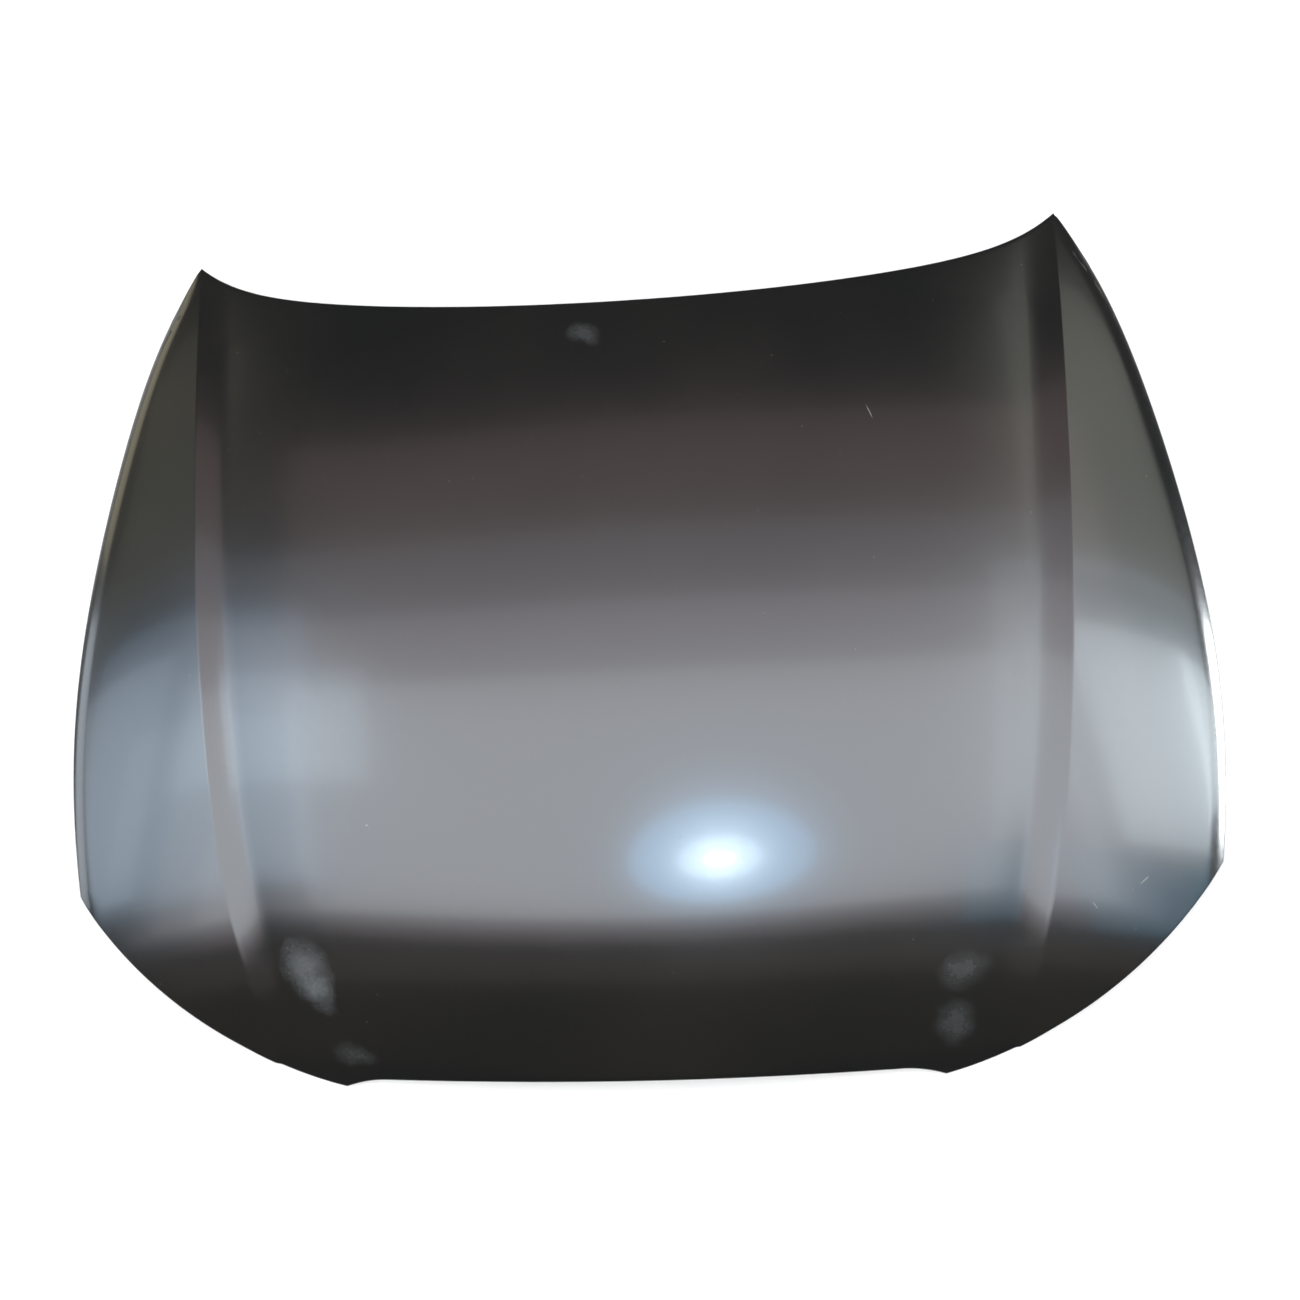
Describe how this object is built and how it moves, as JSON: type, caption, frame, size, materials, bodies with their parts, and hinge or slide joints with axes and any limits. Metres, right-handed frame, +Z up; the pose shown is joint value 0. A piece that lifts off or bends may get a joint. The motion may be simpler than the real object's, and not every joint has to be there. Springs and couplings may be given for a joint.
{
  "type": "car bonnet",
  "caption": "Pressed steel car bonnet: a creased, crowned skin hemmed round a ribbed inner frame, with hinge, strut and latch reinforcements inside.",
  "frame": {"origin": "on the floor, under the middle of the bonnet's length and width, as it lies upper side up", "axes": "+X to the car's left, across the bonnet; +Y to the rear, towards the windscreen; +Z up"},
  "size_m": [1.5126, 1.1544, 0.1126],
  "materials": {
    "black_primer": "satin gloss black electrodeposition primer",
    "black_primer_inside": "satin black electrodeposition primer, thinner and duller inside",
    "zinc_plated_steel": "dull zinc plating",
    "grey_mastic": "matte grey mastic"
  },
  "bodies": {
    "root": {"hinge_reinforcement_left": "black_primer_inside", "hinge_reinforcement_right": "black_primer_inside", "hinge_weld_nut_left_front": "zinc_plated_steel", "hinge_weld_nut_left_rear": "zinc_plated_steel", "hinge_weld_nut_right_front": "zinc_plated_steel", "hinge_weld_nut_right_rear": "zinc_plated_steel", "inner_frame": "black_primer_inside", "latch_reinforcement": "black_primer_inside", "mastic_pad_01": "grey_mastic", "mastic_pad_02": "grey_mastic", "mastic_pad_03": "grey_mastic", "mastic_pad_04": "grey_mastic", "mastic_pad_05": "grey_mastic", "mastic_pad_06": "grey_mastic", "mastic_pad_07": "grey_mastic", "mastic_pad_08": "grey_mastic", "mastic_pad_09": "grey_mastic", "mastic_pad_10": "grey_mastic", "mastic_pad_11": "grey_mastic", "mastic_pad_12": "grey_mastic", "mastic_pad_13": "grey_mastic", "mastic_pad_14": "grey_mastic", "mastic_pad_15": "grey_mastic", "mastic_pad_16": "grey_mastic", "outer_skin": "black_primer", "striker_loop": "zinc_plated_steel", "striker_plate": "black_primer_inside", "strut_bracket_left": "black_primer_inside", "strut_bracket_right": "black_primer_inside"}
  },
  "joints": []
}
